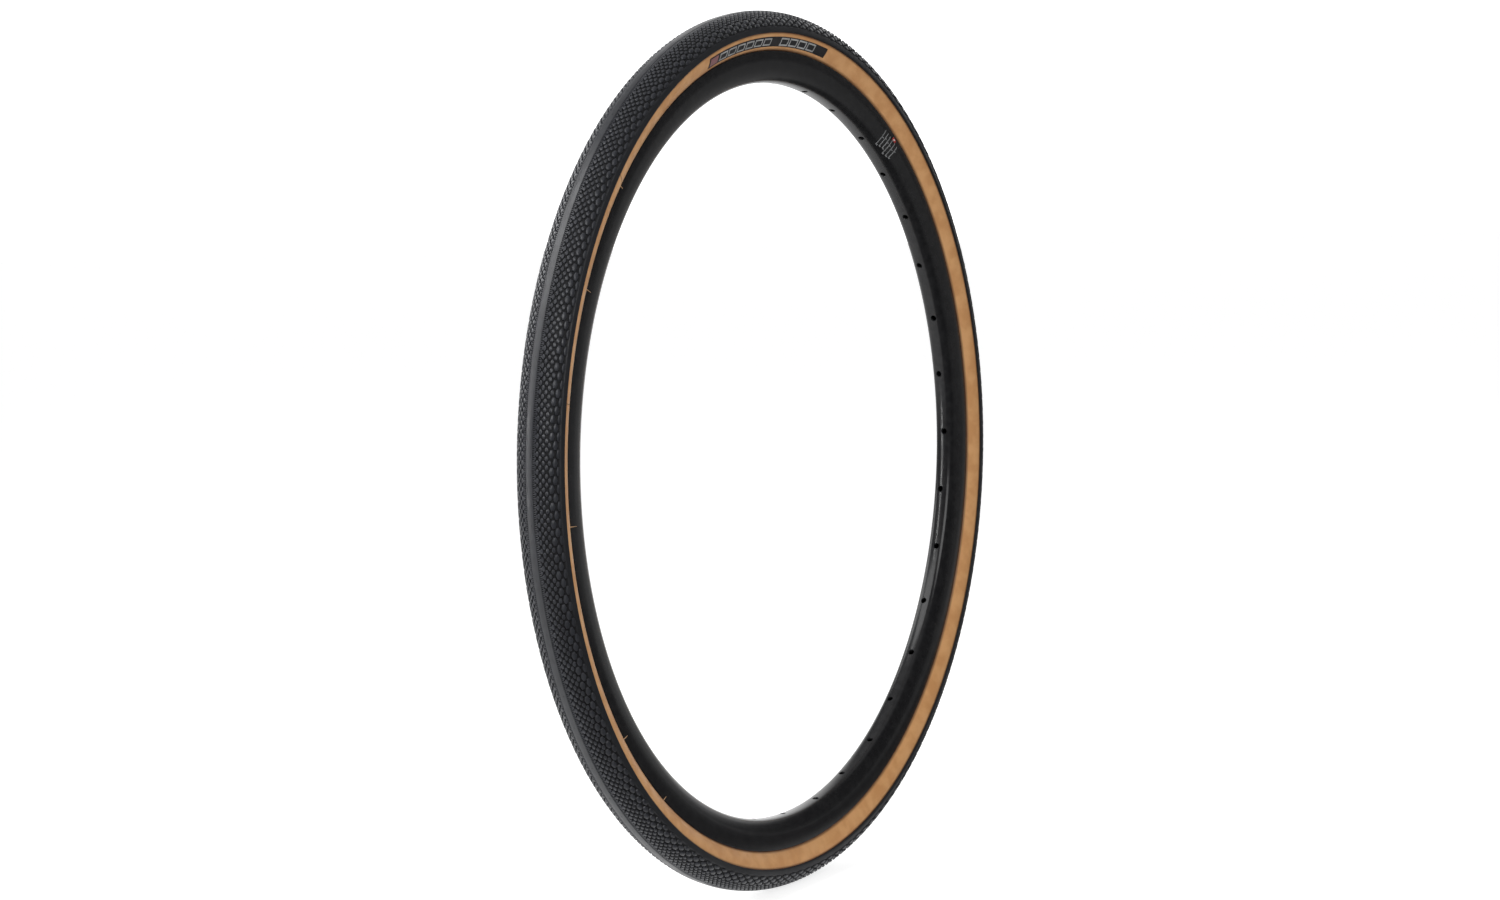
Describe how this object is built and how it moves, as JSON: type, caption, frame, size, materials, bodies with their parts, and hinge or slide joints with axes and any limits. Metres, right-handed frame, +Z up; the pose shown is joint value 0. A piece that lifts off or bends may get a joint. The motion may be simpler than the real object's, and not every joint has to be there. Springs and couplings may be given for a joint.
{
  "type": "bicycle tire",
  "caption": "Tan-sidewall bicycle tire with a black knobbed tread, seated on a bare black spoke-drilled rim.",
  "frame": {"origin": "centre of the wheel, on the turning axis and midway between the two sides", "axes": "+Y along the turning axis towards the back face; -Y is the labelled front face; +Z up, with the label near the top"},
  "size_m": [0.6938, 0.0372, 0.6938],
  "materials": {
    "tread_rubber": "matt black tread rubber",
    "tan_rubber": "satin tan rubber skin",
    "ply_fabric": "rubbered nylon ply",
    "belt_fabric": "woven puncture belt",
    "bead_fibre": "aramid fibre bundle",
    "chafer_fabric": "rubbered chafer cloth",
    "liner_rubber": "smooth black butyl film",
    "label_print": "dark transfer print with light bars",
    "rim_coating": "satin black anodised aluminium",
    "rim_tape": "woven adhesive tape",
    "sleeve_alloy": "plain mill finish",
    "decal_print": "thin grey printed decal"
  },
  "bodies": {
    "root": {"tread_centre": "tread_rubber", "tread_shoulder_front": "tread_rubber", "tread_shoulder_back": "tread_rubber", "puncture_belt": "belt_fabric", "casing_ply": "ply_fabric", "inner_liner": "liner_rubber", "bead_core_front": "bead_fibre", "bead_core_back": "bead_fibre", "chafer_front": "chafer_fabric", "chafer_back": "chafer_fabric", "sidewall_front": "tan_rubber", "sidewall_back": "tan_rubber", "label_front": "label_print", "label_back": "label_print", "rim": "rim_coating", "rim_tape": "rim_tape", "rim_joint_sleeve": "sleeve_alloy", "rim_decal_front": "decal_print", "rim_decal_back": "decal_print"}
  },
  "joints": []
}
